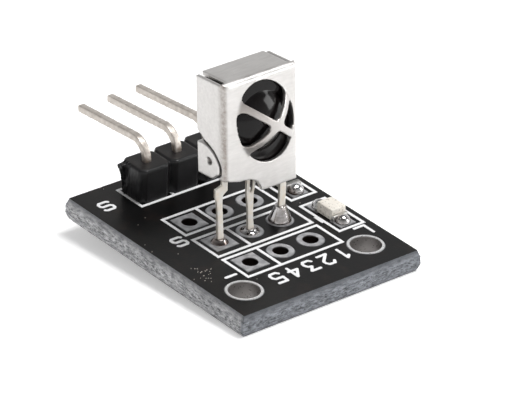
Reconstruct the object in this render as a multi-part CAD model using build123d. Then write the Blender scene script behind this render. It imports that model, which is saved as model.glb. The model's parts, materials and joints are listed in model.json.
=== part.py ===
from build123d import *
import math
import os

# Infrared receiver module: a small black circuit board that carries a shielded receiver on three
# leads, a three-pin header with its pins bent rearwards, an indicator LED and a chip resistor.
# Millimetres. +X runs along the header, +Y towards the header, +Z up, and the lens looks to -Y.
# The origin lies midway between the two mounting holes, at the underside of the laminate.

# Circuit board, cut from its panel along scored grooves that leave a rough web round the edge
PITCH = 2.54
ROW_STEP = 3.175
BOARD_WIDTH = 14.5
BOARD_LENGTH = 18.5
BOARD_THICK = 1.5
BOARD_MID_X = 0.15
BOARD_FRONT_Y = -2.48
WEB_OUT = 0.15
GROOVE_DEPTH = 0.45
MASK_THICK = 0.03
MASK_CLEARANCE = 0.06
PRINT_THICK = 0.03
BOARD_MID_Y = BOARD_FRONT_Y + BOARD_LENGTH / 2
BOARD_RIGHT_X = BOARD_MID_X + BOARD_WIDTH / 2
MASK_TOP_Z = BOARD_THICK + MASK_THICK
PRINT_TOP_Z = MASK_TOP_Z + PRINT_THICK

# Mounting holes
HOLE_INSET = 2.15
HOLE_SPACING = BOARD_WIDTH - 2 * HOLE_INSET
HOLE_RADIUS = 1.075
HOLE_RING_RADIUS = 1.24
PLATING = 0.05

# Plated pads for the pins and leads, in three open rows and the header's row
PAD_RADIUS = 0.9
PAD_HOLE_RADIUS = 0.55
PAD_THICK = 0.05
FRONT_ROW_Y = 2.58
MIDDLE_ROW_Y = FRONT_ROW_Y + ROW_STEP
REAR_ROW_Y = MIDDLE_ROW_Y + ROW_STEP
HEADER_INSET = 2.34
HEADER_Y = BOARD_FRONT_Y + BOARD_LENGTH - HEADER_INSET
COLUMNS = (-PITCH, 0, PITCH)
BARREL_RADIUS = PAD_HOLE_RADIUS + PLATING
PAD_TOP_Z = BOARD_THICK + PAD_THICK

# Chip parts along the right edge
CHIP_INSET = 1.57
CHIP_X = BOARD_RIGHT_X - CHIP_INSET
LED_Y = 4.42
RESISTOR_Y = 9.31
CHIP_WIDTH = 1.25
CHIP_LENGTH = 2.0
LED_HEIGHT = 0.8
LED_END = 0.25
RESISTOR_HEIGHT = 0.5
RESISTOR_END = 0.35
RESISTOR_COAT = 0.06
CHIP_PAD_LENGTH = 1.1
CHIP_PAD_WIDTH = 1.3
CHIP_PAD_OFFSET = 1.22
CHIP_SOLDER_RADIUS = 0.56
LED_SOLDER_HEIGHT = 0.5
RESISTOR_SOLDER_HEIGHT = 0.62

# White print
LINE = 0.21
FRAME_HALF = 3.94
FRAME_MID_X = 0.1
ROW_FRAMES = ((1.14, 3.77), (4.24, 6.92), (7.66, 10.16))
HEADER_FRAME = (HEADER_Y - 1.33, HEADER_Y + 1.32)
DIVIDER_X = -1.1
CHIP_FRAME_HALF = 1.04
LED_FRAME = (2.32, 6.32)
RESISTOR_FRAME = (7.29, 11.33)
POLARITY_BAR = (4.68, 4.25, 0.26, 0.9)
SIGN_SIZE = (1.02, 1.22)
SIGNS = (("S", -5.75, HEADER_Y + 0.04), ("S", -4.7, 7.25), ("-", -4.7, 1.88), ("L", CHIP_X + 0.37, 1.5))
NUMBER_SIZE = (0.92, 1.38)
NUMBER = "12345"
NUMBER_STEP = 1.36
NUMBER_MID = (0.37, -0.05)

# Header
HEADER_WIDTH = 2.5
HEADER_HEIGHT = 2.45
HEADER_CHAMFER = 0.4
HEADER_RIM = 0.12
SCAR_OUT = 0.42
SCAR_FOOT = 0.75
SCAR_NEAR = 0.55
SCAR_FAR = 0.95
PIN_WIDTH = 0.5
PIN_POINT = 0.12
PIN_TAIL = 1.0
PIN_BEND = 1.25
PIN_ANGLES = (4.5, 4.9, 5.5)
PIN_REACHES = (6.05, 6.15, 6.3)

# Receiver: a folded tinned sheet round a black body, leaning back on its leads.
# Its own frame has U along +X, N rearwards from the front panel and V up the panel.
LEAN = 5.0
FRONT_Y = 4.86
SIDE_FOOT_Z = 6.39
SHIELD_LEFT = -2.95
SHIELD_RIGHT = 3.15
SHIELD_DEPTH = 2.95
SHIELD_HEIGHT = 6.85
SHEET = 0.3
FOLD_RADIUS = 0.45
FOLD_GAP = 0.2
FLAP_GAP = 0.12
SIDE_DROP = 0.13

# The oval window, with two crossing bars that are pressed out into a dome over the lens
WINDOW_HEAD = 0.33
WINDOW_SILL = 0.42
WINDOW_HALF = (2.25, (SHIELD_HEIGHT - WINDOW_HEAD - WINDOW_SILL) / 2)
WINDOW_MID = (0.4, WINDOW_SILL + WINDOW_HALF[1])
WINDOW_TILT = 20.0
WINDOW_CORNER = 0.35
DOME_RISE = 1.1
DOME_LAP = 0.06
DOME_THIN = 0.03
CROSS_MID = (0.6, WINDOW_MID[1] - 0.07)
CROSS_ANGLES = (-37.0, 42.0)
CROSS_BAR = 0.48

# The ear at the foot of each side panel, in N and V, and the slanting cut of the panel above it
EAR_GAP = 0.27
EAR_DIMPLE = (1.72, 1.0, 0.25)
EAR_TOP = 2.1
EAR_FOOT = -0.18
EAR_SHOULDER = SHIELD_DEPTH - 0.6
EAR_FRONT = SHIELD_DEPTH - 2.2
EAR_CURVE = (SHIELD_DEPTH - 1.55, 1.75)
EAR_NOSE = (0.35, 0.9)
EAR_TOE = SHIELD_DEPTH - 1.5
SLANT_OUTLINE = ((SHIELD_DEPTH - 0.95, 2.0), (SHIELD_DEPTH - 0.8, 2.3), (SHIELD_DEPTH + SHEET, 3.15),
                 (SHIELD_DEPTH + SHEET, 2.0))

# The front panel's foot, in U and V: it dips leftwards, arches over the middle lead and ends in a tab
FOOT_DIP = ((-1.9, -0.22), (-1.15, -0.3))
FOOT_ARCH = (-0.4, -0.62)
TAB_LEFT = 0.03
TAB_RIGHT = 2.95
TAB_FOOT = -1.38

# Receiver body and leads
BODY_PLAY = 0.05
BODY_HEADROOM = 0.15
BODY_LEFT = SHIELD_LEFT + SHEET + BODY_PLAY
BODY_RIGHT = SHIELD_RIGHT - SHEET - BODY_PLAY
BODY_FRONT = SHEET + 0.06
BODY_FOOT = 0.05
BODY_TOP = SHIELD_HEIGHT - SHEET - BODY_HEADROOM
BODY_CHAMFER = 0.3
LENS_MID = (0.3, WINDOW_MID[1] - 0.1)
LENS_RADIUS = 2.1
LENS_RISE = 0.85
LEAD_THICK = 0.25
LEAD_TAIL = 0.5
LEAD_TOP_Z = 6.75

# Outlines of the three flat leads in X and Z: the left one cranks out and slants back to its pad
LEFT_LEAD = ((-2.6, LEAD_TOP_Z), (-2.12, LEAD_TOP_Z), (-2.1, 5.3), (-2.5, 5.0), (-2.5, 4.4), (-2.34, 2.6),
             (-2.28, 1.9), (-2.28, -LEAD_TAIL), (-2.78, -LEAD_TAIL), (-2.78, 1.9), (-2.9, 4.0), (-3.0, 4.75),
             (-3.14, 5.05), (-3.14, 5.6), (-2.6, 5.75))
MIDDLE_LEAD = ((-0.5, LEAD_TOP_Z), (0.2, LEAD_TOP_Z), (0.2, 5.0), (0.1, 4.3), (0.16, 2.5), (0.25, 1.9),
               (0.25, -LEAD_TAIL), (-0.25, -LEAD_TAIL), (-0.25, 1.9), (-0.31, 3.0), (-0.38, 3.7), (-0.5, 4.5))
RIGHT_LEAD = ((2.34, LEAD_TOP_Z), (2.65, LEAD_TOP_Z), (2.65, 6.15), (2.84, 5.95), (2.86, 2.6), (2.83, 1.9),
              (2.83, -LEAD_TAIL), (2.33, -LEAD_TAIL), (2.33, 3.6))
SLOT_X = -0.15
SLOT_WIDTH = 0.2
SLOT_LOW = 4.5
SLOT_HIGH = 6.15

# Solder joints: a hollow-sided cone each side of the board, with its foot's radius and height on each lead
LEAD_SOLDERS = ((0.62, 0.3), (0.82, 0.25), (0.82, 1.15))
SOLDER_RADIUS = 0.8
SOLDER_NECK = 0.38
SOLDER_WAIST = 0.49
SOLDER_WAIST_AT = 0.45
PIN_SOLDER_DROP = 0.75
LEAD_SOLDER_DROP = 0.38


def plate(low, high, bottom, thick):
    """A flat block between two opposite corners in plan."""
    size = (high[0] - low[0], high[1] - low[1])
    middle = ((high[0] + low[0]) / 2, (high[1] + low[1]) / 2)
    return Pos(middle[0], middle[1], bottom) * extrude(Rectangle(*size), thick)


def disc(x, y, radius, bottom, thick):
    return Pos(x, y, bottom) * extrude(Circle(radius), thick)


def save(name, shape):
    export_step(shape, f"parts/{name}.step")


# Holes and pads


def hole_places():
    return [(-HOLE_SPACING / 2, 0), (HOLE_SPACING / 2, 0)]


def pad_places():
    """Row name, number in the row, place, and whether the pad is square, as each first one is."""
    rows = {"front": FRONT_ROW_Y, "middle": MIDDLE_ROW_Y, "rear": REAR_ROW_Y, "header": HEADER_Y}
    return [(row, i + 1, x, y, i == 0) for row, y in rows.items() for i, x in enumerate(COLUMNS)]


def pad_outline(square, grow=0.0):
    half = PAD_RADIUS + grow
    return Rectangle(2 * half, 2 * half) if square else Circle(half)


def plated_pad(x, y, square):
    """A tinned pad on each face, joined by the plated barrel of its hole."""
    pad = Pos(0, 0, BOARD_THICK) * extrude(pad_outline(square), PAD_THICK)
    pad += Pos(0, 0, -PAD_THICK) * extrude(pad_outline(square), PAD_THICK)
    pad += Pos(0, 0, -PAD_THICK) * extrude(Circle(BARREL_RADIUS), PAD_TOP_Z + PAD_THICK)
    pad -= Pos(0, 0, -PAD_THICK) * extrude(Circle(PAD_HOLE_RADIUS), PAD_TOP_Z + PAD_THICK)
    return Pos(x, y, 0) * pad


def plated_hole(x, y):
    """A mounting hole's thin tinned ring on each face, joined by its barrel."""
    ring = disc(0, 0, HOLE_RING_RADIUS, BOARD_THICK, PAD_THICK)
    ring += disc(0, 0, HOLE_RING_RADIUS, -PAD_THICK, PAD_THICK)
    ring += disc(0, 0, HOLE_RADIUS + PLATING, -PAD_THICK, PAD_TOP_Z + PAD_THICK)
    ring -= disc(0, 0, HOLE_RADIUS, -PAD_THICK, PAD_TOP_Z + PAD_THICK)
    return Pos(x, y, 0) * ring


def chip_pad(y):
    low = (CHIP_X - CHIP_PAD_WIDTH / 2, y - CHIP_PAD_LENGTH / 2)
    high = (CHIP_X + CHIP_PAD_WIDTH / 2, y + CHIP_PAD_LENGTH / 2)
    return plate(low, high, BOARD_THICK, PAD_THICK)


# Board


def board_outline(grow):
    return Rectangle(BOARD_WIDTH + 2 * grow, BOARD_LENGTH + 2 * grow)


def make_board():
    """The laminate: its grooves slope out from both faces to the rough web, and its holes are drilled."""
    layers = ((0, 0), (GROOVE_DEPTH, WEB_OUT), (BOARD_THICK - GROOVE_DEPTH, WEB_OUT), (BOARD_THICK, 0))
    slab = None
    for (low, low_grow), (high, high_grow) in zip(layers, layers[1:]):
        layer = loft([Pos(0, 0, low) * board_outline(low_grow), Pos(0, 0, high) * board_outline(high_grow)])
        slab = layer if slab is None else slab + layer
    board = Pos(BOARD_MID_X, BOARD_MID_Y, 0) * slab
    for x, y in hole_places():
        board -= disc(x, y, HOLE_RADIUS + PLATING, 0, BOARD_THICK)
    for _, _, x, y, _ in pad_places():
        board -= disc(x, y, BARREL_RADIUS, 0, BOARD_THICK)
    return board


def make_mask(bottom, with_chip_pads):
    """The solder mask on one face, open round every pad and hole."""
    mask = Pos(BOARD_MID_X, BOARD_MID_Y, bottom) * extrude(board_outline(0), MASK_THICK)
    for x, y in hole_places():
        mask -= disc(x, y, HOLE_RING_RADIUS + MASK_CLEARANCE, bottom, MASK_THICK)
    for _, _, x, y, square in pad_places():
        mask -= Pos(x, y, bottom) * extrude(pad_outline(square, MASK_CLEARANCE), MASK_THICK)
    if with_chip_pads:
        half_width = CHIP_PAD_WIDTH / 2 + MASK_CLEARANCE
        half_length = CHIP_PAD_LENGTH / 2 + MASK_CLEARANCE
        for middle in (LED_Y, RESISTOR_Y):
            for y in (middle - CHIP_PAD_OFFSET, middle + CHIP_PAD_OFFSET):
                low = (CHIP_X - half_width, y - half_length)
                mask -= plate(low, (CHIP_X + half_width, y + half_length), bottom, MASK_THICK)
    return mask


# Print

GLYPHS = {
    "S": ((-1, -0.8), (-0.7, -1), (0.7, -1), (1, -0.75), (1, -0.25), (0.7, 0),
          (-0.7, 0), (-1, 0.25), (-1, 0.75), (-0.7, 1), (0.7, 1), (1, 0.8)),
    "-": ((-1, 0), (1, 0)),
    "L": ((-1, 1), (-1, -1), (1, -1)),
    "1": ((-0.6, 0.6), (0.1, 1), (0.1, -1)),
    "2": ((-1, 0.6), (-0.6, 1), (0.6, 1), (1, 0.6), (1, 0.2), (-1, -1), (1, -1)),
    "3": ((-1, 1), (1, 1), (0, 0.2), (0.7, 0.1), (1, -0.3), (1, -0.7), (0.6, -1), (-0.6, -1), (-1, -0.7)),
    "4": ((0.5, -1), (0.5, 1), (-1, -0.3), (1, -0.3)),
    "5": ((1, 1), (-0.9, 1), (-1, 0.1), (0.6, 0.1), (1, -0.2), (1, -0.7), (0.6, -1), (-0.6, -1), (-1, -0.7)),
}


def stroke(points, width):
    """A printed line with round ends through the points."""
    line = Pos(*points[0]) * Circle(width / 2)
    for (x0, y0), (x1, y1) in zip(points, points[1:]):
        turn = math.degrees(math.atan2(y1 - y0, x1 - x0))
        length = math.hypot(x1 - x0, y1 - y0)
        line += Pos((x0 + x1) / 2, (y0 + y1) / 2) * Rot(0, 0, turn) * Rectangle(length, width)
        line += Pos(x1, y1) * Circle(width / 2)
    return line


def glyph(character, x, y, size):
    """A sign about its middle, turned half round as all of this board's print is."""
    half_width = (size[0] - LINE) / 2
    half_height = (size[1] - LINE) / 2
    return stroke([(x - u * half_width, y - v * half_height) for u, v in GLYPHS[character]], LINE)


def frame(left, right, front, rear):
    middle = Pos((left + right) / 2, (front + rear) / 2)
    outer = Rectangle(right - left + LINE, rear - front + LINE)
    return middle * (outer - Rectangle(right - left - LINE, rear - front - LINE))


def make_print():
    left = FRAME_MID_X - FRAME_HALF
    right = FRAME_MID_X + FRAME_HALF
    lines = []
    for front, rear in ROW_FRAMES + (HEADER_FRAME,):
        box = frame(left, right, front, rear)
        lines.append(box + stroke([(DIVIDER_X, front), (DIVIDER_X, rear)], LINE))
    for front, rear in (LED_FRAME, RESISTOR_FRAME):
        lines.append(frame(CHIP_X - CHIP_FRAME_HALF, CHIP_X + CHIP_FRAME_HALF, front, rear))
    x, y, width, length = POLARITY_BAR
    lines[-2] += Pos(x, y) * Rectangle(width, length)
    for character, x, y in SIGNS:
        lines.append(glyph(character, x, y, SIGN_SIZE))
    for i, digit in enumerate(NUMBER):
        x = NUMBER_MID[0] + ((len(NUMBER) - 1) / 2 - i) * NUMBER_STEP
        lines.append(glyph(digit, x, NUMBER_MID[1], NUMBER_SIZE))
    solids = [solid for line in lines for solid in extrude(line, PRINT_THICK).solids()]
    return Pos(0, 0, MASK_TOP_Z) * Compound(solids)


# Header


def make_header_body():
    """Three eight-sided cells in a row, notched between them, with a torn flake at the left end."""
    cells = None
    top_z = PRINT_TOP_Z + HEADER_HEIGHT
    for x in COLUMNS:
        cell = Pos(x, HEADER_Y, PRINT_TOP_Z) * extrude(Rectangle(PITCH, HEADER_WIDTH), HEADER_HEIGHT)
        cell = chamfer(cell.edges().filter_by(Axis.Z), HEADER_CHAMFER)
        cell = chamfer(cell.faces().sort_by(Axis.Z)[-1].edges(), HEADER_RIM)
        cells = cell if cells is None else cells + cell
    end_x = -1.5 * PITCH
    scar_foot = PRINT_TOP_Z + SCAR_FOOT
    scar_top = top_z - HEADER_RIM
    inner_x = end_x + SCAR_OUT
    outer_x = end_x - SCAR_OUT
    corners = ((inner_x, scar_foot), (end_x, scar_foot), (outer_x, scar_top), (inner_x, scar_top))
    wedge = make_face(Polyline(*corners, close=True))
    cells += Pos(0, HEADER_Y + SCAR_FAR, 0) * extrude(Plane.XZ * wedge, SCAR_FAR - SCAR_NEAR)
    for x in COLUMNS:
        cells -= Pos(x, HEADER_Y, PRINT_TOP_Z) * extrude(Rectangle(PIN_WIDTH, PIN_WIDTH), HEADER_HEIGHT)
    return cells


def make_pin(x, degrees, reach):
    """A square pin: up through the board and the body, round a bend, then rearwards, drooping a little."""
    bend_z = PRINT_TOP_Z + HEADER_HEIGHT
    start = (x, HEADER_Y, -PIN_TAIL)
    droop = math.radians(degrees)
    turn = math.pi / 2 + droop
    centre_y = HEADER_Y + PIN_BEND
    half = (x, centre_y - PIN_BEND * math.cos(turn / 2), bend_z + PIN_BEND * math.sin(turn / 2))
    end = (x, centre_y - PIN_BEND * math.cos(turn), bend_z + PIN_BEND * math.sin(turn))
    tip = (x, end[1] + reach * math.cos(droop), end[2] - reach * math.sin(droop))
    foot = (x, HEADER_Y, bend_z)
    path = Line(start, foot) + ThreePointArc(foot, half, end) + Line(end, tip)
    pin = sweep(Plane(origin=start, x_dir=(1, 0, 0), z_dir=(0, 0, 1)) * Rectangle(PIN_WIDTH, PIN_WIDTH), path)
    pin = chamfer(pin.faces().sort_by(Axis.Z)[0].edges(), PIN_POINT)
    return chamfer(pin.faces().sort_by(Axis.Y)[-1].edges(), PIN_POINT)


# Solder


def joint_solder(x, y, drop, top_radius=0.0, top_height=0.0):
    """Solder round a pin or lead: a hollow-sided cone below, the filled barrel, and perhaps a cone on top."""
    top_z = PAD_TOP_Z if top_height else BOARD_THICK
    low = -PAD_THICK - drop
    lines = [
        Line((0, low), (SOLDER_NECK, low)),
        ThreePointArc((SOLDER_NECK, low), (SOLDER_WAIST, low + (1 - SOLDER_WAIST_AT) * drop),
                      (SOLDER_RADIUS, -PAD_THICK)),
        Line((SOLDER_RADIUS, -PAD_THICK), (PAD_HOLE_RADIUS, -PAD_THICK)),
        Line((PAD_HOLE_RADIUS, -PAD_THICK), (PAD_HOLE_RADIUS, top_z)),
    ]
    if top_height:
        high = PAD_TOP_Z + top_height
        lines.append(Line((PAD_HOLE_RADIUS, top_z), (top_radius, top_z)))
        waist = (SOLDER_WAIST, top_z + SOLDER_WAIST_AT * top_height)
        lines.append(ThreePointArc((top_radius, top_z), waist, (SOLDER_NECK, high)))
        lines.append(Line((SOLDER_NECK, high), (0, high)))
        lines.append(Line((0, high), (0, low)))
    else:
        lines.append(Line((PAD_HOLE_RADIUS, top_z), (0, top_z)))
        lines.append(Line((0, top_z), (0, low)))
    profile = Plane.XZ * make_face(Curve() + lines)
    return Pos(x, y, 0) * revolve(profile, Axis.Z)


def chip_solder(y, height):
    """A rounded heap on a chip pad, later cut to fit round the chip's end."""
    sphere_radius = (CHIP_SOLDER_RADIUS**2 + height**2) / (2 * height)
    ball = Pos(CHIP_X, y, PAD_TOP_Z + height - sphere_radius) * Sphere(sphere_radius)
    keep = Pos(CHIP_X, y, PAD_TOP_Z) * extrude(Rectangle(2 * PAD_RADIUS, 2 * PAD_RADIUS), 2 * height)
    return ball & keep


# Chip parts


def chip_block(y, half_length, bottom, height):
    low = (CHIP_X - CHIP_WIDTH / 2, y - half_length)
    return plate(low, (CHIP_X + CHIP_WIDTH / 2, y + half_length), bottom, height)


def chip_end(middle, side, end, height):
    """The metal end of a chip part; side is -1 at the front and 1 at the rear."""
    return chip_block(middle + side * (CHIP_LENGTH - end) / 2, end / 2, PAD_TOP_Z, height)


# Receiver


def placed(shape):
    """Turn a shape of the receiver's own frame back by the lean and set it on the board."""
    return Pos(0, FRONT_Y, SIDE_FOOT_Z) * Rot(-LEAN, 0, 0) * shape


def front_prism(outline, near, far):
    """A shape drawn on the front panel in U and V, cut out between two depths N."""
    return Pos(0, far, 0) * extrude(Plane.XZ * outline, far - near)


def side_prism(points, near, far):
    """A shape drawn on a side panel in N and V, cut out between two places U."""
    outline = Plane.YZ * make_face(Polyline(*points, close=True))
    return Pos(near, 0, 0) * extrude(outline, far - near)


def block(u, n, v):
    """A block between two values on each axis of the receiver's frame."""
    size = (u[1] - u[0], n[1] - n[0], v[1] - v[0])
    return Pos((u[0] + u[1]) / 2, (n[0] + n[1]) / 2, (v[0] + v[1]) / 2) * Box(*size)


def window_outline(grow):
    oval = Ellipse(WINDOW_HALF[0] + grow, WINDOW_HALF[1] + grow)
    return Pos(*WINDOW_MID) * Rot(0, 0, WINDOW_TILT) * oval


def ear_outline(grow):
    """The ear at the foot of a side panel, round at the front, in N and V."""
    front = EAR_FRONT - grow
    top = EAR_TOP + grow
    foot = EAR_FOOT - grow
    rear = SHIELD_DEPTH + grow
    curve = (EAR_CURVE[0] - grow / 2, EAR_CURVE[1] + grow / 2)
    return Plane.YZ * make_face(Curve() + [
        Line((rear, foot), (rear, top)),
        Line((rear, top), (EAR_SHOULDER, top)),
        ThreePointArc((EAR_SHOULDER, top), curve, (front, EAR_NOSE[1])),
        Line((front, EAR_NOSE[1]), (front, EAR_NOSE[0])),
        Line((front, EAR_NOSE[0]), (EAR_TOE, foot)),
        Line((EAR_TOE, foot), (rear, foot)),
    ])


def make_shell():
    """The folded box, open below, with its front panel's foot: an arch round the middle lead, then a tab."""
    left = SHIELD_LEFT + SHEET
    right = SHIELD_RIGHT - SHEET
    shell = block((SHIELD_LEFT, SHIELD_RIGHT), (0, SHIELD_DEPTH), (0, SHIELD_HEIGHT))
    upright = shell.edges().filter_by(Axis.Z).group_by(Axis.Y)[0]
    shell = fillet(upright + shell.faces().sort_by(Axis.Z)[-1].edges().sort_by(Axis.Y)[0:1], FOLD_RADIUS)
    shell -= block((left, right), (SHEET, SHIELD_DEPTH - SHEET), (-SHEET, SHIELD_HEIGHT - SHEET))
    foot = make_face(Curve() + [
        Line((left, SHEET), (left, 0)),
        Line((left, 0), FOOT_DIP[0]),
        Line(FOOT_DIP[0], FOOT_DIP[1]),
        ThreePointArc(FOOT_DIP[1], FOOT_ARCH, (TAB_LEFT, TAB_FOOT)),
        Line((TAB_LEFT, TAB_FOOT), (TAB_RIGHT, TAB_FOOT)),
        Line((TAB_RIGHT, TAB_FOOT), (TAB_RIGHT, SHEET)),
        Line((TAB_RIGHT, SHEET), (left, SHEET)),
    ])
    return shell + front_prism(foot, 0, SHEET)


def cut_folds(shell):
    """The gaps of the folded sheet: beside the top flap, under its rear edge, and at the rear left corner."""
    left = SHIELD_LEFT + SHEET
    right = SHIELD_RIGHT - SHEET
    behind = SHIELD_DEPTH + SHEET
    above = (SHIELD_HEIGHT - SHEET - FOLD_GAP, SHIELD_HEIGHT + SHEET)
    for low, high in ((left, left + FOLD_GAP), (right - FOLD_GAP, right)):
        shell -= block((low, high), (FOLD_RADIUS, behind), above)
    lowered = (SHIELD_HEIGHT - SIDE_DROP, SHIELD_HEIGHT + SHEET)
    for low, high in ((SHIELD_LEFT, left), (right, SHIELD_RIGHT)):
        shell -= block((low, high), (FOLD_RADIUS, behind), lowered)
    slit = (SHIELD_HEIGHT - SHEET - FLAP_GAP, SHIELD_HEIGHT - SHEET)
    shell -= block((left, right), (SHIELD_DEPTH - SHEET, behind), slit)
    shell -= block((left, left + FOLD_GAP), (SHIELD_DEPTH - SHEET - FOLD_GAP, behind), (EAR_TOP, above[1]))
    return shell


def cut_ears(shell):
    """A gap round each ear, with the panel cut away on a slant above it."""
    n, v, radius = EAR_DIMPLE
    for near, outer in ((SHIELD_LEFT, SHIELD_LEFT), (SHIELD_RIGHT - SHEET, SHIELD_RIGHT)):
        shell -= Pos(outer - SHEET, 0, 0) * extrude(ear_outline(EAR_GAP), 2 * SHEET)
        shell -= side_prism(SLANT_OUTLINE, outer - SHEET, outer + SHEET)
        ear = Pos(near, 0, 0) * extrude(ear_outline(0), SHEET)
        shell += ear - Pos(outer, n, v) * Sphere(radius)
    return shell


def window_openings():
    """The four openings that the bars leave in the window, with rounded corners."""
    openings = window_outline(0)
    for angle in CROSS_ANGLES:
        openings -= Pos(*CROSS_MID) * Rot(0, 0, angle) * Rectangle(4 * WINDOW_HALF[1], CROSS_BAR)
    return fillet(openings.vertices(), WINDOW_CORNER)


def make_cross():
    """The bars and the window's lip, cut from a dome over it that is a hair thinner than the panel."""
    reach = WINDOW_HALF[1] + DOME_LAP
    radius = (reach**2 + DOME_RISE**2) / (2 * DOME_RISE)
    shell = Pos(0, radius - DOME_RISE, 0) * (Sphere(radius) - Sphere(radius - SHEET))
    dome = scale(shell, by=((WINDOW_HALF[0] + DOME_LAP) / reach, 1, 1))
    dome = Pos(WINDOW_MID[0], 0, WINDOW_MID[1]) * Rot(0, -WINDOW_TILT, 0) * dome
    outline = window_outline(DOME_LAP) - window_openings()
    return dome & front_prism(outline, -2 * DOME_RISE, SHEET - DOME_THIN)


def make_shield():
    shell = cut_ears(cut_folds(make_shell()))
    shell -= front_prism(window_outline(0), -SHEET, 2 * SHEET)
    return placed(shell + make_cross())


def make_body():
    """The black moulding with its round lens at the front."""
    width = (BODY_LEFT, BODY_RIGHT)
    height = (BODY_FOOT, BODY_TOP)
    body = block(width, (BODY_FRONT, SHIELD_DEPTH - SHEET), height)
    body = chamfer(body.edges().filter_by(Axis.Z), BODY_CHAMFER)
    radius = (LENS_RADIUS**2 + LENS_RISE**2) / (2 * LENS_RISE)
    ball = Pos(LENS_MID[0], BODY_FRONT + radius - LENS_RISE, LENS_MID[1]) * Sphere(radius)
    lens = ball & block(width, (-LENS_RISE, BODY_FRONT + BODY_CHAMFER), height)
    return placed(body + lens)


def lead(points):
    """A flat lead drawn in X and Z, with its thickness about the middle row."""
    outline = Plane.XZ * make_face(Polyline(*points, close=True))
    return Pos(0, MIDDLE_ROW_Y + LEAD_THICK / 2, 0) * extrude(outline, LEAD_THICK)


def make_leads():
    """The three leads, from the left; the middle one has a slot near its top."""
    slot = Box(SLOT_WIDTH, 2 * LEAD_THICK, SLOT_HIGH - SLOT_LOW)
    middle = lead(MIDDLE_LEAD) - Pos(SLOT_X, MIDDLE_ROW_Y, (SLOT_LOW + SLOT_HIGH) / 2) * slot
    return [lead(LEFT_LEAD), middle, lead(RIGHT_LEAD)]


def main():
    os.makedirs("parts", exist_ok=True)
    save("board", make_board())
    save("solder_mask_top", make_mask(BOARD_THICK, True))
    save("solder_mask_bottom", make_mask(-MASK_THICK, False))
    save("white_print", make_print())
    for side, (x, y) in zip(("left", "right"), hole_places()):
        save(f"mounting_hole_{side}", plated_hole(x, y))
    for row, number, x, y, square in pad_places():
        save(f"{row}_row_pad_{number}", plated_pad(x, y, square))

    leads = make_leads()
    save("shield", make_shield())
    body = make_body()
    for number, (x, each, (radius, height)) in enumerate(zip(COLUMNS, leads, LEAD_SOLDERS), 1):
        body -= each
        save(f"receiver_lead_{number}", each)
        solder = joint_solder(x, MIDDLE_ROW_Y, LEAD_SOLDER_DROP, radius, height)
        save(f"receiver_solder_{number}", solder - each)
    save("receiver_body", body)

    save("header_body", make_header_body())
    for number, (x, droop, reach) in enumerate(zip(COLUMNS, PIN_ANGLES, PIN_REACHES), 1):
        pin = make_pin(x, droop, reach)
        save(f"header_pin_{number}", pin)
        save(f"header_solder_{number}", joint_solder(x, HEADER_Y, PIN_SOLDER_DROP) - pin)

    chips = {"led": (LED_Y, LED_END, LED_HEIGHT / 2, LED_SOLDER_HEIGHT),
             "resistor": (RESISTOR_Y, RESISTOR_END, RESISTOR_HEIGHT, RESISTOR_SOLDER_HEIGHT)}
    for name, (y, end, end_height, solder_height) in chips.items():
        for side_name, side in (("front", -1), ("rear", 1)):
            save(f"{name}_pad_{side_name}", chip_pad(y + side * CHIP_PAD_OFFSET))
            save(f"{name}_end_{side_name}", chip_end(y, side, end, end_height))
            solder = chip_solder(y + side * CHIP_PAD_OFFSET, solder_height)
            save(f"{name}_solder_{side_name}", solder - chip_block(y, CHIP_LENGTH / 2, PAD_TOP_Z, LED_HEIGHT))
    save("led_body", chip_block(LED_Y, CHIP_LENGTH / 2 - LED_END, PAD_TOP_Z, LED_HEIGHT))
    save("resistor_body", chip_block(RESISTOR_Y, CHIP_LENGTH / 2 - RESISTOR_END, PAD_TOP_Z, RESISTOR_HEIGHT))
    coat_half = CHIP_LENGTH / 2 - RESISTOR_END
    save("resistor_coat", chip_block(RESISTOR_Y, coat_half, PAD_TOP_Z + RESISTOR_HEIGHT, RESISTOR_COAT))


main()
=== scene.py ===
import json
import math

import bmesh
import bpy
from mathutils import Matrix, Vector, noise


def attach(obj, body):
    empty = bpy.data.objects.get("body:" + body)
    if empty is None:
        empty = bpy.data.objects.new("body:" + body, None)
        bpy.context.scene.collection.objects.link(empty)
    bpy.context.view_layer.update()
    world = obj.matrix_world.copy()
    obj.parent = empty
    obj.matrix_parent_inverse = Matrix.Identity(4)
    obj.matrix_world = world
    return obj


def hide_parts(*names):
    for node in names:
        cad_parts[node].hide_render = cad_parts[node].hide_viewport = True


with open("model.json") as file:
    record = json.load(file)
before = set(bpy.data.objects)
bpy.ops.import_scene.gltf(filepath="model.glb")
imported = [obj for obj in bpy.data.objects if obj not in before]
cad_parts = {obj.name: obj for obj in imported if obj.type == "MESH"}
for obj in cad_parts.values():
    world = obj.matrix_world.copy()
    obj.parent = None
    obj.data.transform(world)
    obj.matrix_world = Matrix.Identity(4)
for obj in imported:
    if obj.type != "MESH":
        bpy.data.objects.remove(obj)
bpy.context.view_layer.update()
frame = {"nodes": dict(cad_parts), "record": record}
NODES = frame["nodes"]

# An infrared receiver module on a small black board. Metres in the scene, millimetres in the values below
# unless they say otherwise. +Y runs towards the header, +Z up, the lens looks to -Y, and the origin is midway
# between the mounting holes.
MM = 0.001
BODY = "root"
NOISE = (0.3, 0.7)  # the range that a noise texture mostly keeps to

# Meshes
MERGE = 0.0005 * MM  # CAD triangles are joined within this
SHARP_ANGLE = math.radians(50)  # steeper edges shade as edges
FLAT_ANGLE = math.radians(1)  # softened pieces: flatter faces count as one
CORNER_ANGLE = math.radians(35)  # softened pieces: steeper edges are rounded

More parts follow.
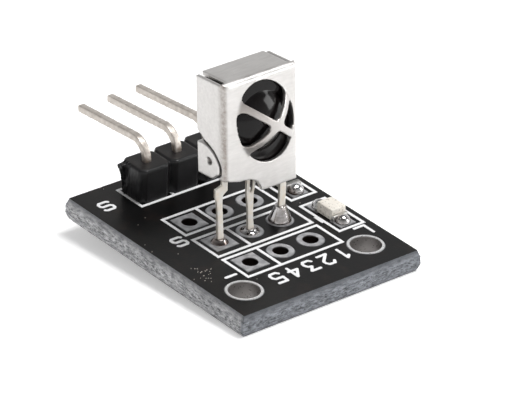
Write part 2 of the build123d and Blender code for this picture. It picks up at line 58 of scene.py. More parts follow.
# Camera, fitted to the photograph
CAMERA_AIM = (0.4, 6.77, 1.5)
CAMERA_SIDEWAYS = (0.832, 0.997)  # how far it stands off the line to its aim, rightwards and up
CAMERA_AZIMUTH = -40.341
CAMERA_ELEVATION = 29.393
CAMERA_ROLL = 2.699
CAMERA_DISTANCE = 259.633
LENS_MM = 275.82
SENSOR_MM = 36.0
CLIP_START = 0.01  # metres
CLIP_END = 20  # metres

# Floor. The board stands on its front edge and, at the rear, on the tails of its header's pins.
FLOOR_FRONT = (-2.5, 0.02)  # the front edge: its Y, and the floor's depth there
FLOOR_REAR = (13.68, 1.02)  # the tails, likewise
FLOOR_SIDE = 4000.0
FLOOR_GREY = 0.85
FLOOR_GLOW = 0.38  # what eyes and mirrors see over what is lit

# Sky and lamps
SKY_RISE = (0.1, 0.8)  # the upward part of a view's direction over which the sky dims
SKY_LEVEL = (0.85, 0.15)
OVERHEAD_LAMP = ((112, -45, 430), (190, 190), 1.6)  # place, size and watts
WINDOW_LAMP = ((290, -220, 150), (150, 170), 0.45)

# Board
BOARD_MID = (0.15, 6.77)
BOARD_HALF = (7.25, 9.25)  # half its width and length
BOARD_TOP = 1.5
MASK_TOP = 1.53
WEB_OUT = 0.15  # how far the snapped web stands out of its edges
GROOVE = 0.45  # height of the scored slope above and below the web

# Snapped edge's mesh
EDGE_STEP = 0.07
EDGE_ROWS = 22
EDGE_COVER = 0.015  # how far it lies over the laminate
EDGE_INSIDE = 0.3  # how far it reaches into it
EDGE_INSET = 0.02  # how far its inner rim keeps from the faces

# Snapped edge's torn cloth: fuzz and pits
TORN_LOW = 0.05  # torn between these heights
TORN_HIGH = 1.2
TORN_FADE = 0.15
FUZZ_OUT = 0.055
FUZZ_MEAN = 0.45  # the share without noise, and what the noise adds
FUZZ_SPREAD = 0.7
FUZZ_SCALE = (2.4, 2.4, 4.5)
FUZZ_FRACTAL = (0.9, 2.2, 5)
PIT_IN = 0.05
PIT_FROM = 0.2  # the noise over which it is pitted
PIT_SCALE = (5.5, 5.5, 7.0)
PIT_SHIFT = 9.0

# Receiver
LEAN = math.radians(5.0)
RECEIVER_FOOT = (0.0, 4.86, 6.39)  # the foot of its front panel
SCUFF_AND_SHADE_MIDDLE = -2.86  # the middle, on X, of the strip along its front left fold that is scuffed and darkened with painted shade
SCUFF_AND_SHADE_HALF = 0.2
EAR_DIMPLE = (1.72, 1.0)  # behind the front panel, and above its foot
DIMPLE_RADIUS = 0.27

# Middle lead's slot
SLOT_X = -0.15
SLOT_HALF = 0.09
SLOT_HEIGHTS = (4.6, 5.0)  # its shade sets in between these

# Cast pieces: the step between their points
SHIELD_STEP = 0.057
HEADER_STEP = 0.055
PIN_STEP = 0.05
JOINT_STEP = 0.04
CHIP_JOINT_STEP = 0.03
CAST_SMOOTHING = 3  # passes
SMOOTHING_SHARE = 0.5

# Softened pieces: the width of their rounded corners
BODY_CORNER = 0.03
LED_CORNER = 0.07
RESISTOR_CORNER = 0.04
CHIP_END_CORNER = 0.03

# Header's torn left end
END_X = -3.45  # where it starts
END_DEPTH = 0.25  # the way to its full tear
END_Y = 13.7  # torn more behind this
END_RISE = 0.5
END_LEAST = 0.12  # the share of the tear in front of it
STREAK_IN = 0.12
STREAK_SCALE = (9.0, 1.1)
STREAK_SHIFT = 3.0
STREAK_FRACTAL = (0.8, 2.1, 4)
RIDGE_OUT = 0.03
RIDGE_SCALE = 5.0

# Solder's lumps
LUMP_OUT = 0.028
LUMP_SCALE = 1.3
LUMP_FRACTAL = (1.0, 2.0, 1)

# Right lead's joint, which took more solder than the others
FULL_JOINT = (2.54, 5.755)
FULL_FROM = 1.6
FULL_HEIGHT = 1.1
FULL_OUT = 0.13
FULL_CORE = 0.3  # keeps its place
FULL_POWER = 0.7  # under 1 for a swell below half its height

# Dust
SPECK_SIZE = 0.065
SPECK_SHARES = ((0.35, 0.3, 0.2), (0.9, 0.8, 0.4))  # of that size along each axis, least and most
SPECK_TURN = (6.0, 6.0, 6.0)  # radians at most
DUST_SEED = 11
CLUSTER = ((-6.9, 2.9), (-6.15, 2.05), (-5.15, 3.35), (-6.2, 4.1))
CLUSTER_SPECKS = 11.0  # to a square millimetre
SINGLE_SPECKS = ((-4.6, 15.96), (-4.61, 11.03), (-5.55, 10.56), (-6.78, 8.22), (-6.96, 7.24),
                 (-5.73, 6.07), (-4.49, 15.7), (5.08, 6.74), (-3.54, 0.64))


def colour(code):
    """An sRGB hex colour as the linear red, green, blue and alpha that a shader takes."""
    channels = [int(code[i:i + 2], 16) / 255 for i in (1, 3, 5)]
    return [c / 12.92 if c <= 0.04045 else ((c + 0.055) / 1.055) ** 2.4 for c in channels] + [1.0]


def mm(*lengths):
    """Lengths in millimetres as metres."""
    return [length * MM for length in lengths]


def per(millimetres):
    """The texture scale that gives a pattern features of this size."""
    return 1 / (millimetres * MM)


def add(tree, kind, values=None, **settings):
    """Add a node with its settings; values are its inputs, each a constant or another node's output."""
    node = tree.nodes.new(kind)
    for name, setting in settings.items():
        setattr(node, name, setting)
    for socket, value in (values or {}).items():
        if isinstance(value, bpy.types.NodeSocket):
            tree.links.new(value, node.inputs[socket])
        else:
            node.inputs[socket].default_value = value
    return node


def empty_tree(owner):
    """The node tree of a material or a world, with nothing in it."""
    owner.use_nodes = True
    owner.node_tree.nodes.clear()
    return owner.node_tree


def new_material(name):
    """An empty material, its node tree and the place on the object in metres."""
    made = bpy.data.materials.new(name)
    tree = empty_tree(made)
    return made, tree, add(tree, "ShaderNodeTexCoord").outputs["Object"]


def grain(tree, place, size, detail=2.0, roughness=0.5, distortion=0.0):
    """A noise pattern with features of a size in millimetres."""
    node = add(tree, "ShaderNodeTexNoise", {"Vector": place, "Scale": per(size), "Detail": detail,
                                            "Roughness": roughness, "Distortion": distortion})
    return node.outputs["Fac"]


def ramp(tree, value, ends=(0.0, 1.0), to=(0.0, 1.0)):
    """A value carried from between two ends to another range, and held beyond them."""
    node = add(tree, "ShaderNodeMapRange", {"Value": value, 1: ends[0], 2: ends[1], 3: to[0], 4: to[1]})
    return node.outputs[0]


def mixed(tree, share, first, second, way="MIX"):
    """Two colours mixed by a share of the second. Each is a hex code or another node's output."""
    first, second = [colour(tone) if isinstance(tone, str) else tone for tone in (first, second)]
    node = add(tree, "ShaderNodeMix", {0: share, 6: first, 7: second}, data_type="RGBA", blend_type=way)
    return node.outputs[2]


def between(tree, share, first, second):
    """Two values mixed by a share of the second."""
    return add(tree, "ShaderNodeMix", {0: share, 2: first, 3: second}, data_type="FLOAT").outputs[0]


def maths(tree, operation, *values):
    """A sum on one or two values."""
    return add(tree, "ShaderNodeMath", dict(enumerate(values)), operation=operation).outputs[0]


def apart(tree, value, middle):
    """How far a value lies from a middle in millimetres, to either side."""
    return maths(tree, "ABSOLUTE", maths(tree, "SUBTRACT", value, middle * MM))


def axes(tree, vector):
    """The X, Y and Z of a vector."""
    return add(tree, "ShaderNodeSeparateXYZ", {0: vector}).outputs


def surface(tree, values, height=None, relief=0.0):
    """The shader of a material, with a fine relief in millimetres from a height pattern."""
    if height is not None:
        bump = add(tree, "ShaderNodeBump", {"Height": height, "Strength": 1.0, "Distance": relief * MM})
        values = {**values, "Normal": bump.outputs["Normal"]}
    shader = add(tree, "ShaderNodeBsdfPrincipled", values)
    add(tree, "ShaderNodeOutputMaterial", {"Surface": shader.outputs["BSDF"]})


# Materials


def solder_mask_black():
    """Liquid solder mask, cured satin black: near black with a faint orange peel and brownish stains."""
    made, tree, place = new_material("solder mask, satin black")
    cloud = grain(tree, place, 2.5, detail=4.0)
    stains = grain(tree, place, 1.1, detail=5.0, roughness=0.6)
    tone = mixed(tree, cloud, "#060606", "#0d0c0d")
    tone = mixed(tree, ramp(tree, stains, (0.52, 0.7), to=(0.0, 0.55)), tone, "#221916")
    surface(tree, {"Base Color": tone, "Roughness": ramp(tree, cloud, to=(0.28, 0.4)), "IOR": 1.5,
                   "Specular IOR Level": 0.27}, grain(tree, place, 0.12), relief=0.004)
    return made


def fr4_laminate():
    """FR4 laminate, scored and snapped: grey glass cloth with broken fibres, pale flecks and dark pits.

    The scored slope along its top edge is smoother and greyer, and painted shade darkens the front edge to a
    bluish grey.
    """
    made, tree, place = new_material("FR4 laminate, snapped")
    at = axes(tree, place)
    long = add(tree, "ShaderNodeMapping", {"Vector": place, "Scale": (1.0, 1.0, 3.2)}).outputs[0]
    fibres = grain(tree, long, 0.55, detail=7.0, roughness=0.72)
    tone = mixed(tree, ramp(tree, fibres, (0.36, 0.62)), "#7b7c80", "#e6e6e8")
    pits = grain(tree, long, 0.3, detail=5.0, roughness=0.7, distortion=0.6)
    slope = ramp(tree, at["Z"], mm(1.0, 1.12))
    shade = between(tree, slope, ramp(tree, pits, (0.4, 0.5), to=(0.25, 1.0)), 0.92)
    patches = ramp(tree, grain(tree, place, 2.2, detail=3.0), NOISE, to=(0.82, 1.0))
    tone = mixed(tree, 1.0, tone, maths(tree, "MULTIPLY", shade, patches), "MULTIPLY")
    tone = mixed(tree, ramp(tree, at["Z"], mm(1.05, 1.46), to=(0.0, 0.8)), tone, "#6f7073")
    # painted shade: darkens the front edge towards a bluish grey
    tone = mixed(tree, ramp(tree, at["Y"], mm(-2.3, -2.5), to=(0.0, 0.8)), tone, "#9097a0", "MULTIPLY")
    surface(tree, {"Base Color": tone, "Roughness": 0.6, "IOR": 1.52}, fibres, relief=0.05)
    return made


def screen_ink_white():
    """White epoxy screen ink: matt, a little uneven, greyer where it is thin."""
    made, tree, place = new_material("screen ink, white epoxy")
    mottling = grain(tree, place, 0.25, detail=5.0, roughness=0.65)
    tone = mixed(tree, ramp(tree, mottling, (0.3, 0.38)), "#c4c4c4", "#f0f0f1")
    surface(tree, {"Base Color": tone, "Roughness": 0.6, "IOR": 1.5}, mottling, relief=0.004)
    return made


def tin(name, tones, gloss, size, relief, metal=1.0, hole_shade=None, flux_and_shade=None):
    """Tin in one of its finishes: patches between a dull and a bright tone, and grain of a size in mm.

    Oxide leaves some of it chalky, so that less than all of it shines as metal. Inside a plated hole its tone
    is
    darkened to a given colour with painted shade. Below given heights it darkens downwards to a given colour
    too:
    brown flux at a joint's foot on solder, painted shade on a pin.
    """
    made, tree, place = new_material(name)
    height = axes(tree, place)["Z"]
    patch = grain(tree, place, size * 4, detail=4.0)
    fine = grain(tree, place, size, detail=4.0)
    tone = mixed(tree, ramp(tree, patch, NOISE), *tones)
    # painted shade inside the plated hole, between the board's faces
    if hole_shade:
        below = ramp(tree, height, mm(MASK_TOP, BOARD_TOP - 0.05))
        above = ramp(tree, height, mm(-0.03, 0.05))
        tone = mixed(tree, maths(tree, "MULTIPLY", below, above), tone, hole_shade)
    # brown flux at a solder joint's foot; on the pins the same darkening is painted shade
    if flux_and_shade:
        brown, top, foot = flux_and_shade
        sunk = ramp(tree, height, mm(top, foot), to=(0.0, 0.85))
        cover = ramp(tree, patch, (0.62, 0.4))
        tone = mixed(tree, maths(tree, "MULTIPLY", sunk, cover), tone, brown)
    surface(tree, {"Base Color": tone, "Roughness": ramp(tree, fine, NOISE, to=gloss), "Metallic": metal},
            fine, relief)
    return made


def lead_copper():
    """Tinned copper lead, stamped: pale satin faces, browned sheared sides, shade in the middle one's slot."""
    made, tree, place = new_material("tinned copper lead, satin")
    at = axes(tree, place)
    patch = grain(tree, place, 0.4, detail=4.0)
    fine = grain(tree, place, 0.1, detail=4.0)
    tone = mixed(tree, ramp(tree, patch, NOISE), "#fbf0e0", "#fffcf6")
    facing = axes(tree, add(tree, "ShaderNodeTexCoord").outputs["Normal"])
    sheared = ramp(tree, maths(tree, "ABSOLUTE", facing["X"]), (0.84, 0.98), to=(0.0, 0.7))
    tone = mixed(tree, sheared, tone, "#574c43")
    narrow = ramp(tree, apart(tree, at["X"], SLOT_X), mm(SLOT_HALF + 0.05, SLOT_HALF))
    high = ramp(tree, at["Z"], mm(*SLOT_HEIGHTS))
    tone = mixed(tree, maths(tree, "MULTIPLY", narrow, high), tone, "#241e1b")
    gloss = ramp(tree, fine, NOISE, to=(0.38, 0.52))
    surface(tree, {"Base Color": tone, "Roughness": gloss, "Metallic": 0.05}, fine, relief=0.004)
    return made


def shield_sheet():
    """Tinned steel sheet, folded: satin with fine rolling lines, scuffed and darkened with painted shade along
    its front left fold.

    The dimple of the ear is darkened with painted shade, and painted shade darkens the bars over the lens
    towards the left.
    """
    made, tree, place = new_material("tinned steel sheet, satin")
    flat = add(tree, "ShaderNodeMapping", {"Vector": place, "Location": mm(*RECEIVER_FOOT),
                                           "Rotation": (-LEAN, 0.0, 0.0)}, vector_type="TEXTURE").outputs[0]
    at = axes(tree, flat)
    rolled = add(tree, "ShaderNodeMapping", {"Vector": flat, "Scale": (0.22, 1.0, 1.0)}).outputs[0]
    lines = grain(tree, rolled, 0.2, detail=5.0, roughness=0.6)
    cloud = grain(tree, flat, 1.6, detail=5.0, roughness=0.6)
    tone = mixed(tree, cloud, "#cbc8c5", "#e6e4e2")
    tone = mixed(tree, 1.0, tone, ramp(tree, lines, NOISE, to=(0.9, 1.02)), "MULTIPLY")

    # scuff marks and painted shade along the front left fold, broken up by a mottled pattern
    scuff_and_shade = ramp(tree, apart(tree, at["X"], SCUFF_AND_SHADE_MIDDLE), mm(SCUFF_AND_SHADE_HALF, 0.04))
    scuff_and_shade = maths(tree, "MULTIPLY", scuff_and_shade, ramp(tree, at["Y"], mm(0.75, 0.35)))
    mottling = ramp(tree, grain(tree, flat, 0.28, detail=4.0, roughness=0.7), (0.36, 0.62), to=(0.36, 0.8))
    tone = mixed(tree, maths(tree, "MULTIPLY", scuff_and_shade, mottling), tone, "#81766e")

    # painted shade in the ear's dimple
    side = add(tree, "ShaderNodeCombineXYZ", {1: at["Y"], 2: at["Z"]}).outputs[0]
    dimple = (0.0, *mm(*EAR_DIMPLE))
    off = add(tree, "ShaderNodeVectorMath", {0: side, 1: dimple}, operation="DISTANCE").outputs["Value"]
    dimple_shade = ramp(tree, off, mm(DIMPLE_RADIUS, 0.6 * DIMPLE_RADIUS), to=(0.0, 0.85))
    tone = mixed(tree, dimple_shade, tone, "#3b332f")

    # painted shade on the bars over the lens, darker towards the left
    raised = ramp(tree, at["Y"], mm(-0.02, -0.15))
    left = ramp(tree, at["X"], mm(0.9, -1.2), to=(0.25, 0.8))
    tone = mixed(tree, maths(tree, "MULTIPLY", raised, left), tone, "#a39c97")
    gloss = ramp(tree, cloud, NOISE, to=(0.3, 0.42))
    surface(tree, {"Base Color": tone, "Roughness": gloss, "Metallic": 0.9}, lines, relief=0.006)
    return made


def filter_resin():
    """Black infrared-pass epoxy, moulded glossy: black with a faint bloom."""
    made, tree, place = new_material("epoxy, infrared-pass black")
    bloom = grain(tree, place, 1.2, detail=3.0)
    surface(tree, {"Base Color": mixed(tree, bloom, "#0a0808", "#191516"), "IOR": 1.55,
                   "Roughness": ramp(tree, bloom, to=(0.08, 0.2)), "Specular IOR Level": 0.2},
            bloom, relief=0.003)
    return made


def header_nylon():
    """Glass-filled nylon, moulded satin black: fine-grained, with slightly paler clouds."""
    made, tree, place = new_material("nylon, glass-filled black")
    cloud = grain(tree, place, 0.9, detail=4.0)
    surface(tree, {"Base Color": mixed(tree, cloud, "#0b0b0c", "#19181a"), "IOR": 1.53,
                   "Roughness": ramp(tree, cloud, to=(0.26, 0.4)), "Specular IOR Level": 0.34},
            grain(tree, place, 0.08, detail=3.0), relief=0.006)
    return made


def cast_resin():
    """Cream casting resin over an LED chip: clouded, with a few darker specks."""
    made, tree, place = new_material("casting resin, cream")
    cloud = grain(tree, place, 0.5, detail=4.0)
    specks = ramp(tree, grain(tree, place, 0.12), (0.3, 0.42), to=(0.5, 1.0))
    tone = mixed(tree, 1.0, mixed(tree, cloud, "#ded6c9", "#f6f2ea"), specks, "MULTIPLY")
    surface(tree, {"Base Color": tone, "Roughness": 0.35, "IOR": 1.52}, cloud, relief=0.01)
    return made


def alumina():
    """White alumina of a chip resistor: fine, matt and even."""
    made, tree, place = new_material("alumina, white")
    fine = grain(tree, place, 0.06, detail=3.0)
    surface(tree, {"Base Color": mixed(tree, fine, "#d2cfc6", "#e8e6df"), "Roughness": 0.5, "IOR": 1.6},
            fine, relief=0.003)
    return made


def resistor_glaze():
    """Black glass glaze over a chip resistor: glossy and slightly uneven."""
    made, tree, place = new_material("glass glaze, black")
    cloud = grain(tree, place, 0.3, detail=3.0)
    surface(tree, {"Base Color": mixed(tree, cloud, "#121213", "#242325"), "Roughness": 0.25, "IOR": 1.55},
            cloud, relief=0.005)
    return made


def paper_dust():
    """Lint and paper dust: matt, off-white to pale brown."""
    made, tree, place = new_material("dust, off-white")
    tone = mixed(tree, grain(tree, place, 0.3), "#b5a697", "#efece6")
    surface(tree, {"Base Color": tone, "Roughness": 0.9, "IOR": 1.45})
    return made


def dress():
    """Give each CAD node the finish of its slot in the record."""
    finishes = {
        "laminate": fr4_laminate(),
        "solder_mask": solder_mask_black(),
        "print_white": screen_ink_white(),
        # the pad and hole tins' barrels are painted shade inside the plated holes
        "pad_tin": tin("tin, hot-air levelled and dulled", ("#a3a3a6", "#d6d6d8"), gloss=(0.34, 0.5),
                       size=0.12, relief=0.01, metal=0.7, hole_shade="#2b211c"),
        "hole_tin": tin("tin, plated hole", ("#dededf", "#f4f4f4"), gloss=(0.25, 0.4), size=0.15,
                        relief=0.008, metal=0.6, hole_shade="#8a8684"),
        "shield_steel": shield_sheet(),
        "black_epoxy": filter_resin(),
        "lead_tin": lead_copper(),
        "solder": tin("tin solder, bright", ("#857b76", "#f2f2f3"), gloss=(0.06, 0.16), size=0.3,
                      relief=0.006, flux_and_shade=("#4d3b31", 1.95, 1.56)),
        "header_plastic": header_nylon(),
        # the pin tin's darkening below 4.75 mm is painted shade on the pins
        "pin_tin": tin("tinned brass pin, satin", ("#b8b0a8", "#d6cfc7"), gloss=(0.32, 0.48), size=0.1,
                       relief=0.004, metal=0.75, flux_and_shade=("#8a7b6e", 4.75, 4.1)),
        "led_resin": cast_resin(),
        "chip_end_tin": tin("tinned chip end", ("#b5b3b0", "#d2d1ce"), gloss=(0.25, 0.4), size=0.08,
                            relief=0.005),
        "resistor_ceramic": alumina(),
        "resistor_coat": resistor_glaze(),
    }
    for part in frame["record"]["subparts"]:
        mesh = NODES[part["node"]].data
        mesh.materials.clear()
        mesh.materials.append(finishes[part["material_slot"]])
    return finishes


# Pieces


def receiver_place():
    """The frame that the receiver's sheet is flat in: U along +X, N rearwards, V up the front panel."""
    return Matrix.Translation(Vector(RECEIVER_FOOT) * MM) @ Matrix.Rotation(-LEAN, 4, "X")


def keep_piece(piece, material, node=None):
    """Join a finished piece to the model, in place of the CAD node that it stands for, if any."""
    piece.data.materials.clear()
    piece.data.materials.append(material)
    if node:
        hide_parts(node)
    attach(piece, BODY)


def merged(node):
    """A copy of a CAD node's mesh with its triangles joined."""
    form = bmesh.new()
    form.from_mesh(NODES[node].data)
    bmesh.ops.remove_doubles(form, verts=form.verts, dist=MERGE)
    return form


def new_piece(name, form):
    """An object at the origin from a finished mesh, smooth but for its sharp edges."""
    mesh = bpy.data.meshes.new(name)
    form.to_mesh(mesh)
    form.free()
    mesh.shade_smooth()
    mesh.set_sharp_from_angle(angle=SHARP_ANGLE)
    piece = bpy.data.objects.new(name, mesh)
    bpy.context.scene.collection.objects.link(piece)
    return piece


def applied(piece):
    """The mesh that a piece's modifiers make of it. They are then removed."""
    graph = bpy.context.evaluated_depsgraph_get()
    result = bpy.data.meshes.new_from_object(piece.evaluated_get(graph))
    piece.modifiers.clear()
    return result


def softened(node, width, material):
    """A CAD node with its corners rounded off, as stamped, moulded and cut parts have them."""
    form = merged(node)
    bmesh.ops.dissolve_limit(form, angle_limit=FLAT_ANGLE, verts=form.verts, edges=form.edges)
    corners = [edge for edge in form.edges if edge.is_manifold and edge.calc_face_angle() > CORNER_ANGLE]
    bmesh.ops.bevel(form, geom=corners, offset=width * MM, segments=2, profile=0.5, affect="EDGES",
                    clamp_overlap=True)
    keep_piece(new_piece(node + "_soft", form), material, node)


def cast(node, step, turn, material, wear=None):
    """A CAD node remade as one skin with points a step apart, which rounds its edges; wear then moves them.

    It is made in millimetres, in a frame that the turn gives.
    """
    form = merged(node)
    bmesh.ops.transform(form, matrix=Matrix.Scale(1 / MM, 4) @ turn.inverted(), verts=form.verts)
    skin = new_piece(node + "_cast", form)
    remesh = skin.modifiers.new("skin", "REMESH")
    remesh.mode = "VOXEL"
    remesh.voxel_size = step
    remesh.adaptivity = 0.0
    remesh.use_smooth_shade = True
    result = applied(skin)
    form = bmesh.new()
    form.from_mesh(result)
    for _ in range(CAST_SMOOTHING):
        bmesh.ops.smooth_vert(form, verts=form.verts, factor=SMOOTHING_SHARE,
                              use_axis_x=True, use_axis_y=True, use_axis_z=True)
    if wear:
        wear(form)
    bmesh.ops.transform(form, matrix=turn @ Matrix.Scale(MM, 4), verts=form.verts)
    form.to_mesh(skin.data)
    form.free()
    bpy.data.meshes.remove(result)
    skin.data.shade_smooth()
    keep_piece(skin, material, node)


def edge_stand(z):
    """How far the snapped edge stands out of the board at a height, before its roughness."""
    return WEB_OUT * min(1.0, z / GROOVE, (BOARD_TOP - z) / GROOVE)


def edge_point(along, z, out):
    """A point round the board's edge: along its four sides in turn, at a height, and out of it."""
    half_x, half_y = BOARD_HALF
    sides = ((2 * half_x, (1, 0), (0, -1)), (2 * half_y, (0, 1), (1, 0)), (2 * half_x, (-1, 0), (0, 1)),
             (2 * half_y, (0, -1), (-1, 0)))
    corner = Vector((-half_x, -half_y))
    for length, ahead, outward in sides:
        if along <= length:
            break
        along -= length
        corner += Vector(ahead) * length
    share = along / length
    spread = (2 * share - 1) * out
    flat = corner + Vector(ahead) * (along + spread) + Vector(outward) * out
    return Vector((BOARD_MID[0] + flat.x, BOARD_MID[1] + flat.y, z))


def torn_cloth(along, z):
    """How far broken glass cloth stands off the snapped edge: fuzz between the torn heights, less its pits."""
    share = min(1.0, max(0.0, (z - TORN_LOW) / TORN_FADE), max(0.0, (TORN_HIGH - z) / TORN_FADE))
    at = edge_point(along, z, edge_stand(z))
    fuzz = noise.fractal(Vector([a * scale for a, scale in zip(at, FUZZ_SCALE)]), *FUZZ_FRACTAL)
    pit = noise.noise(Vector((at.x * PIT_SCALE[0], at.y * PIT_SCALE[1], at.z * PIT_SCALE[2] + PIT_SHIFT)))
    out = EDGE_COVER + FUZZ_OUT * share * max(0.0, FUZZ_MEAN + fuzz * FUZZ_SPREAD)
    return max(EDGE_COVER, out - PIT_IN * share * max(0.0, pit - PIT_FROM))


def snapped_edge(material):
    """The rough web that snapping leaves round the board: broken glass cloth below a smoother slope."""
    round_length = 4 * (BOARD_HALF[0] + BOARD_HALF[1])
    columns = round(round_length / EDGE_STEP)
    form = bmesh.new()
    rings = []
    for i in range(columns):
        along = round_length * i / columns
        heights = [BOARD_TOP * j / EDGE_ROWS for j in range(EDGE_ROWS + 1)]
        spots = [edge_point(along, z, edge_stand(z) + torn_cloth(along, z)) for z in heights]
        spots += [edge_point(along, z, -EDGE_INSIDE) for z in (BOARD_TOP - EDGE_INSET, EDGE_INSET)]
        rings.append([form.verts.new(spot * MM) for spot in spots])
    count = len(rings[0])
    for i in range(columns):
        here, there = rings[i], rings[(i + 1) % columns]
        for j in range(count):
            form.faces.new((here[j], there[j], there[(j + 1) % count], here[(j + 1) % count]))
    bmesh.ops.recalc_face_normals(form, faces=form.faces)
    keep_piece(new_piece("snapped_edge", form), material)


def speck_tree():
    """Dust: a speck on each point of a mesh and more of them scattered over its faces.

    With the tree come the identifiers of its inputs, by name.
    """
    tree = bpy.data.node_groups.new("dust specks", "GeometryNodeTree")
    inputs = {}
    for name, kind in (("Geometry", "Geometry"), ("Speck size", "Float"),
                       ("Specks per square metre", "Float"), ("Seed", "Int"), ("Material", "Material")):
        made = tree.interface.new_socket(name, in_out="INPUT", socket_type="NodeSocket" + kind)
        inputs[name] = made.identifier
    tree.interface.new_socket("Geometry", in_out="OUTPUT", socket_type="NodeSocketGeometry")
    given = add(tree, "NodeGroupInput").outputs
    points = add(tree, "GeometryNodeMeshToPoints", {"Mesh": given["Geometry"]})
    strewn = add(tree, "GeometryNodeDistributePointsOnFaces", {
        "Mesh": given["Geometry"], "Density": given["Specks per square metre"], "Seed": given["Seed"]})
    both = add(tree, "GeometryNodeJoinGeometry")
    tree.links.new(points.outputs[0], both.inputs[0])
    tree.links.new(strewn.outputs[0], both.inputs[0])
    ball = add(tree, "GeometryNodeMeshIcoSphere", {"Radius": given["Speck size"], "Subdivisions": 2})
    turn = add(tree, "FunctionNodeRandomValue", {1: SPECK_TURN, "Seed": given["Seed"]},
               data_type="FLOAT_VECTOR")
    least, most = SPECK_SHARES
    grow = add(tree, "FunctionNodeRandomValue", {0: least, 1: most, "Seed": given["Seed"]},
               data_type="FLOAT_VECTOR")
    put = add(tree, "GeometryNodeInstanceOnPoints", {
        "Points": both.outputs[0], "Instance": ball.outputs[0], "Rotation": turn.outputs[0],
        "Scale": grow.outputs[0]})
    real = add(tree, "GeometryNodeRealizeInstances", {0: put.outputs[0]})
    done = add(tree, "GeometryNodeSetMaterial", {"Geometry": real.outputs[0], "Material": given["Material"]})
    add(tree, "NodeGroupOutput", {0: done.outputs[0]})
    return tree, inputs


def dust(material):
    """Pale specks on the mask: a small heap near the front left corner and a few on their own."""
    form = bmesh.new()
    form.faces.new([form.verts.new(Vector((x, y, MASK_TOP)) * MM) for x, y in CLUSTER])
    for x, y in SINGLE_SPECKS:
        form.verts.new(Vector((x, y, MASK_TOP)) * MM)
    piece = new_piece("dust_specks", form)
    tree, inputs = speck_tree()
    made = piece.modifiers.new("specks", "NODES")
    made.node_group = tree
    made[inputs["Speck size"]] = SPECK_SIZE * MM
    made[inputs["Specks per square metre"]] = CLUSTER_SPECKS / MM**2
    made[inputs["Seed"]] = DUST_SEED
    made[inputs["Material"]] = material
    piece.data = applied(piece)
    keep_piece(piece, material)


def torn_end(form):
    """The header's left end, torn off its neighbour: upright streaks and ragged ridges."""
    for vert in form.verts:
        depth = max(0.0, min(1.0, (END_X - vert.co.x) / END_DEPTH))
        if depth:
            near = max(END_LEAST, min(1.0, (vert.co.y - END_Y) / END_RISE))
            spot = Vector((vert.co.y * STREAK_SCALE[0], vert.co.z * STREAK_SCALE[1], STREAK_SHIFT))
            vert.co.x -= STREAK_IN * depth * near * noise.fractal(spot, *STREAK_FRACTAL)
            vert.co.y += RIDGE_OUT * depth * near * noise.noise(vert.co * RIDGE_SCALE)


def lumpy(form):
    """Solder that froze unevenly: shallow swellings and hollows."""
    form.normal_update()
    for vert in form.verts:
        vert.co += vert.normal * LUMP_OUT * noise.fractal(vert.co * LUMP_SCALE, *LUMP_FRACTAL)


def full(form):
    """The right lead's joint, full of solder: its cone swells below half its height."""
    lumpy(form)
    for vert in form.verts:
        share = (vert.co.z - FULL_FROM) / FULL_HEIGHT
        flat = Vector((vert.co.x - FULL_JOINT[0], vert.co.y - FULL_JOINT[1], 0.0))
        if 0 < share < 1 and flat.length > FULL_CORE:
            vert.co += flat.normalized() * FULL_OUT * math.sin(math.pi * share ** FULL_POWER)


def make_pieces(finishes):
    """The dressed pieces, each in its CAD node's place or over its surface."""
    cast("shield", SHIELD_STEP, receiver_place(), finishes["shield_steel"])
    upright = Matrix.Identity(4)
    cast("header_body", HEADER_STEP, upright, finishes["header_plastic"], torn_end)
    for number in (1, 2, 3):
        cast(f"receiver_lead_{number}", PIN_STEP, upright, finishes["lead_tin"])
        cast(f"header_pin_{number}", PIN_STEP, upright, finishes["pin_tin"])
    softened("receiver_body", BODY_CORNER, finishes["black_epoxy"])
    softened("led_body", LED_CORNER, finishes["led_resin"])
    softened("resistor_body", RESISTOR_CORNER, finishes["resistor_ceramic"])
    for side in ("front", "rear"):
        for chip in ("led", "resistor"):
            softened(f"{chip}_end_{side}", CHIP_END_CORNER, finishes["chip_end_tin"])
            cast(f"{chip}_solder_{side}", CHIP_JOINT_STEP, upright, finishes["solder"], lumpy)
    for number, wear in ((1, lumpy), (2, lumpy), (3, full)):
        cast(f"receiver_solder_{number}", JOINT_STEP, upright, finishes["solder"], wear)
    snapped_edge(finishes["laminate"])
    dust(paper_dust())


# Studio


def make_floor():
    """A white floor that keeps the shadow; eyes and mirrors see it a little brighter than it is lit."""
    fall = (FLOOR_REAR[1] - FLOOR_FRONT[1]) / (FLOOR_REAR[0] - FLOOR_FRONT[0])
    half = FLOOR_SIDE / 2
    form = bmesh.new()
    corners = []
    for x, y in ((-half, -half), (half, -half), (half, half), (-half, half)):
        depth = FLOOR_FRONT[1] + fall * (y - FLOOR_FRONT[0])
        corners.append(form.verts.new(Vector((x, y, -depth)) * MM))
    form.faces.new(corners)
    floor = new_piece("studio_floor", form)
    made = bpy.data.materials.new("seamless paper, white")
    tree = empty_tree(made)
    rays = add(tree, "ShaderNodeLightPath").outputs
    seen = maths(tree, "MAXIMUM", rays["Is Camera Ray"], rays["Is Glossy Ray"])
    seen = maths(tree, "MAXIMUM", seen, rays["Is Transmission Ray"])
    paper = add(tree, "ShaderNodeBsdfDiffuse", {"Color": (FLOOR_GREY, FLOOR_GREY, FLOOR_GREY, 1.0)})
    glow = add(tree, "ShaderNodeEmission", {"Strength": maths(tree, "MULTIPLY", seen, FLOOR_GLOW)})
    both = add(tree, "ShaderNodeAddShader", {0: paper.outputs[0], 1: glow.outputs[0]})
    add(tree, "ShaderNodeOutputMaterial", {"Surface": both.outputs[0]})
    floor.data.materials.append(made)


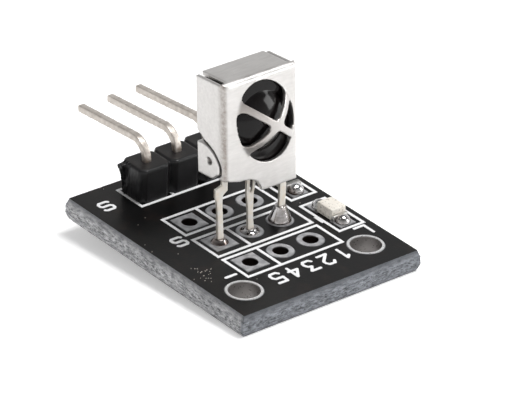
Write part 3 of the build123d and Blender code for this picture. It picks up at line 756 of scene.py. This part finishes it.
def make_sky():
    """A white surround to the eye; what mirrors and lights is white at the horizon and greyer overhead."""
    world = bpy.data.worlds.new("studio")
    bpy.context.scene.world = world
    tree = empty_tree(world)
    up = axes(tree, add(tree, "ShaderNodeTexCoord").outputs["Generated"])["Z"]
    level = ramp(tree, up, SKY_RISE, to=SKY_LEVEL)
    seen = between(tree, add(tree, "ShaderNodeLightPath").outputs["Is Camera Ray"], level, 1.0)
    glow = add(tree, "ShaderNodeBackground", {"Color": colour("#ffffff"), "Strength": seen})
    add(tree, "ShaderNodeOutputWorld", {"Surface": glow.outputs[0]})


def softbox(name, place, size, watts):
    """A soft lamp that faces the board's middle."""
    lamp = bpy.data.lights.new(name, "AREA")
    lamp.shape = "RECTANGLE"
    lamp.size = size[0] * MM
    lamp.size_y = size[1] * MM
    lamp.energy = watts
    box = bpy.data.objects.new(name, lamp)
    box.location = Vector(place) * MM
    box.rotation_mode = "QUATERNION"
    box.rotation_quaternion = (Vector(CAMERA_AIM) - Vector(place)).to_track_quat("-Z", "Y")
    bpy.context.scene.collection.objects.link(box)


def make_camera():
    """The camera that took the photograph, as it was fitted: it looks past CAMERA_AIM by CAMERA_SIDEWAYS."""
    azimuth = math.radians(CAMERA_AZIMUTH)
    elevation = math.radians(CAMERA_ELEVATION)
    roll = math.radians(CAMERA_ROLL)
    back = Vector((math.sin(azimuth) * math.cos(elevation), -math.cos(azimuth) * math.cos(elevation),
                   math.sin(elevation)))
    level = Vector((math.cos(azimuth), math.sin(azimuth), 0))
    above = back.cross(level)
    right = math.cos(roll) * level + math.sin(roll) * above
    up = back.cross(right)
    spot = Vector(CAMERA_AIM) + CAMERA_SIDEWAYS[0] * right + CAMERA_SIDEWAYS[1] * up + CAMERA_DISTANCE * back
    lens = bpy.data.cameras.new("camera")
    lens.sensor_width = SENSOR_MM
    lens.lens = LENS_MM
    lens.clip_start = CLIP_START
    lens.clip_end = CLIP_END
    camera = bpy.data.objects.new("camera", lens)
    turned = Matrix((right, up, back)).transposed().to_4x4()
    camera.matrix_world = Matrix.Translation(spot * MM) @ turned
    bpy.context.scene.collection.objects.link(camera)
    bpy.context.scene.camera = camera


def main():
    make_camera()
    make_pieces(dress())
    make_floor()
    make_sky()
    softbox("overhead_softbox", *OVERHEAD_LAMP)
    softbox("window_softbox", *WINDOW_LAMP)
    bpy.context.scene.view_settings.view_transform = "Standard"


main()
